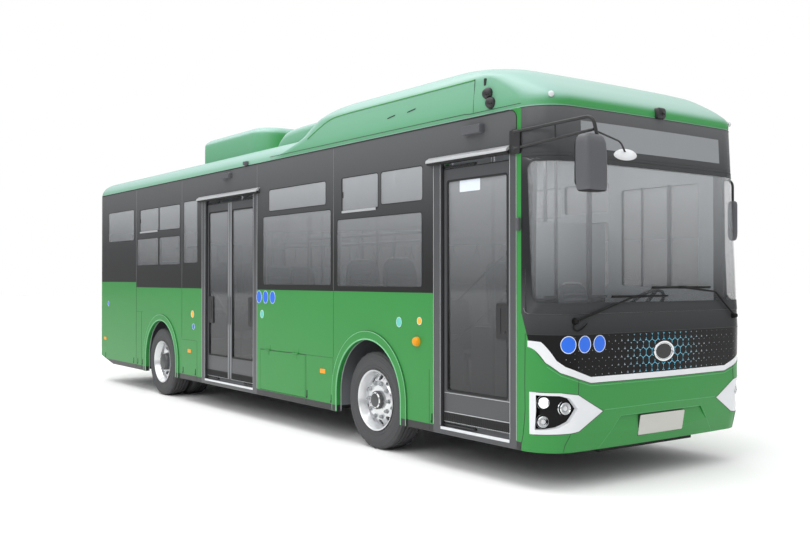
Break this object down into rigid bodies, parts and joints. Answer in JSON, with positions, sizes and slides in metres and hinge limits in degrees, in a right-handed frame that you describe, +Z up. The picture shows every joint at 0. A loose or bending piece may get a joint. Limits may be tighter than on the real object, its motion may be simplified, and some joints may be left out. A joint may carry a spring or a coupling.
{
  "type": "city bus",
  "caption": "Low-entry city bus with two inward-gliding doors, steered front wheels, twin rear wheels, roof fairing and roof pod, with hinged engine lid and service flap.",
  "frame": {"origin": "on the road, at the middle of the whole bus's bounding box", "axes": "+X forward, +Y to the bus's left, +Z up"},
  "size_m": [10.9392, 2.705, 3.615],
  "materials": {
    "green_paint": "gloss",
    "dark_panel": "gloss",
    "white_trim": "gloss",
    "glass": "clear",
    "tyre": "matt",
    "aluminium": "satin",
    "black_metal": "semi-gloss",
    "grey_floor": "matt",
    "cast": "matt",
    "seat_shell": "matt",
    "interior_white": "matt",
    "stainless": "brushed",
    "lamp": "clear",
    "matte_dark": "matt"
  },
  "bodies": {
    "body": {"side_wall_right": "green_paint", "side_wall_left": "green_paint", "rear_wall": "green_paint", "roof_shell": "green_paint", "roof_fairing": "green_paint", "roof_pod": "green_paint", "front_bumper": "green_paint", "front_trim": "white_trim", "grille_panel": "dark_panel", "front_mask": "dark_panel", "front_glass": "glass", "body_windows": "glass", "door_frames": "black_metal", "lamps": "lamp", "floor_deck": "grey_floor", "engine_block": "cast", "front_axle": "cast", "rear_axle": "cast", "seats": "seat_shell", "driver_desk": "matte_dark", "partition": "interior_white", "handrails": "stainless", "mirrors": "black_metal", "wipers": "black_metal"},
    "knuckle_right": {"knuckle_right": "cast"},
    "knuckle_left": {"knuckle_left": "cast"},
    "front_right_wheel": {"wheel_front_right": "aluminium", "tyre_front_right": "tyre"},
    "front_left_wheel": {"wheel_front_left": "aluminium", "tyre_front_left": "tyre"},
    "rear_right_wheels": {"wheels_rear_right": "aluminium", "tyres_rear_right": "tyre"},
    "rear_left_wheels": {"wheels_rear_left": "aluminium", "tyres_rear_left": "tyre"},
    "engine_lid": {"engine_lid": "green_paint"},
    "service_flap": {"service_flap": "green_paint"},
    "door_arm_front": {"door_arm_front": "stainless"},
    "door_leaf_front": {"door_leaf_front": "black_metal", "door_glass_front": "glass"},
    "door_arm_mid_rear": {"door_arm_mid_rear": "stainless"},
    "door_leaf_mid_rear": {"door_leaf_mid_rear": "black_metal", "door_glass_mid_rear": "glass"},
    "door_arm_mid_fore": {"door_arm_mid_fore": "stainless"},
    "door_leaf_mid_fore": {"door_leaf_mid_fore": "black_metal", "door_glass_mid_fore": "glass"}
  },
  "joints": [
    {"name": "steer_right", "type": "hinge", "parent": "body", "child": "knuckle_right", "pos_m": [2.5, -0.975, 0.4785], "axis": [0, 0, 1], "range_deg": [-40, 40]},
    {"name": "steer_left", "type": "hinge", "parent": "body", "child": "knuckle_left", "pos_m": [2.5, 0.975, 0.4785], "axis": [0, 0, 1], "range_deg": [-40, 40]},
    {"name": "spin_front_right", "type": "hinge", "parent": "knuckle_right", "child": "front_right_wheel", "pos_m": [2.5, -1.077, 0.4785], "axis": [0, 1, 0], "continuous": true},
    {"name": "spin_front_left", "type": "hinge", "parent": "knuckle_left", "child": "front_left_wheel", "pos_m": [2.5, 1.077, 0.4785], "axis": [0, 1, 0], "continuous": true},
    {"name": "spin_rear_right", "type": "hinge", "parent": "body", "child": "rear_right_wheels", "pos_m": [-2.88, -1.1, 0.4785], "axis": [0, 1, 0], "continuous": true},
    {"name": "spin_rear_left", "type": "hinge", "parent": "body", "child": "rear_left_wheels", "pos_m": [-2.88, 1.1, 0.4785], "axis": [0, 1, 0], "continuous": true},
    {"name": "arm_swing_front", "type": "hinge", "parent": "body", "child": "door_arm_front", "pos_m": [3.599, -1.227, 1.5], "axis": [0, 0, 1], "range_deg": [0, 85]},
    {"name": "leaf_turn_front", "type": "hinge", "parent": "door_arm_front", "child": "door_leaf_front", "pos_m": [4.0335, -1.227, 1.5], "axis": [0, 0, 1], "range_deg": [-170, 0]},
    {"name": "arm_swing_mid_rear", "type": "hinge", "parent": "body", "child": "door_arm_mid_rear", "pos_m": [-1.356, -1.227, 1.5], "axis": [0, 0, 1], "range_deg": [0, 85]},
    {"name": "leaf_turn_mid_rear", "type": "hinge", "parent": "door_arm_mid_rear", "child": "door_leaf_mid_rear", "pos_m": [-1.02925, -1.227, 1.5], "axis": [0, 0, 1], "range_deg": [-170, 0]},
    {"name": "arm_swing_mid_fore", "type": "hinge", "parent": "body", "child": "door_arm_mid_fore", "pos_m": [0.053, -1.227, 1.5], "axis": [0, 0, -1], "range_deg": [0, 85]},
    {"name": "leaf_turn_mid_fore", "type": "hinge", "parent": "door_arm_mid_fore", "child": "door_leaf_mid_fore", "pos_m": [-0.27375, -1.227, 1.5], "axis": [0, 0, -1], "range_deg": [-170, 0]},
    {"name": "engine_lid_lift", "type": "hinge", "parent": "body", "child": "engine_lid", "pos_m": [-5.47, 0, 1.48], "axis": [0, 1, 0], "range_deg": [0, 75]},
    {"name": "service_flap_lift", "type": "hinge", "parent": "body", "child": "service_flap", "pos_m": [0.735, -1.285, 0.85], "axis": [-1, 0, 0], "range_deg": [0, 80]}
  ],
  "couplings": [
    {"joint": "steer_left", "follows": "steer_right", "ratio": 1},
    {"joint": "leaf_turn_front", "follows": "arm_swing_front", "ratio": -2},
    {"joint": "leaf_turn_mid_rear", "follows": "arm_swing_mid_rear", "ratio": -2},
    {"joint": "leaf_turn_mid_fore", "follows": "arm_swing_mid_fore", "ratio": -2}
  ]
}
